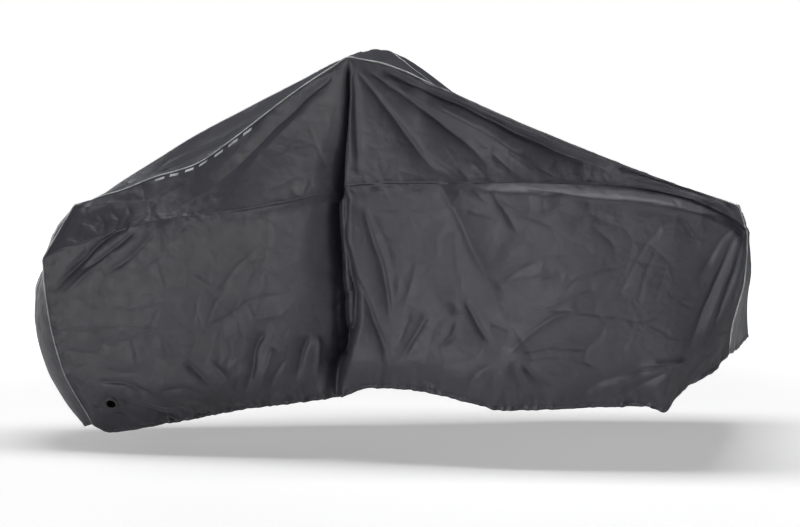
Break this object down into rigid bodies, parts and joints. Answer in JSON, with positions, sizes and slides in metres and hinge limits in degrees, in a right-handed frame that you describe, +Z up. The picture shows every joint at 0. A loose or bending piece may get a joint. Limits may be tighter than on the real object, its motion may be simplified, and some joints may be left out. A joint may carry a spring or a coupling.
{
  "type": "cargo bicycle cover",
  "caption": "Draped weather cover for a box-type cargo bicycle, peaked over the handlebar, with piped side seams, a long centre gusset and lock eyelets.",
  "frame": {"origin": "underside of the top gusset at the middle of the handlebar that holds the cover up", "axes": "+X to the front of the bicycle, along the cover's length; +Y to the far side, across it; +Z up"},
  "size_m": [2.2564, 0.9118, 1.1724],
  "materials": {
    "cover_cloth": "coated polyester weave, satin, charcoal",
    "reflective_piping": "reflective tape, light grey",
    "eyelet_plastic": "moulded, matte black"
  },
  "bodies": {
    "root": {"near_upper_panel": "cover_cloth", "near_lower_panel": "cover_cloth", "near_eyelet_strip": "cover_cloth", "far_upper_panel": "cover_cloth", "far_lower_panel": "cover_cloth", "far_eyelet_strip": "cover_cloth", "centre_gusset": "cover_cloth", "near_piping": "reflective_piping", "far_piping": "reflective_piping", "near_eyelet": "eyelet_plastic", "far_eyelet": "eyelet_plastic"}
  },
  "joints": []
}
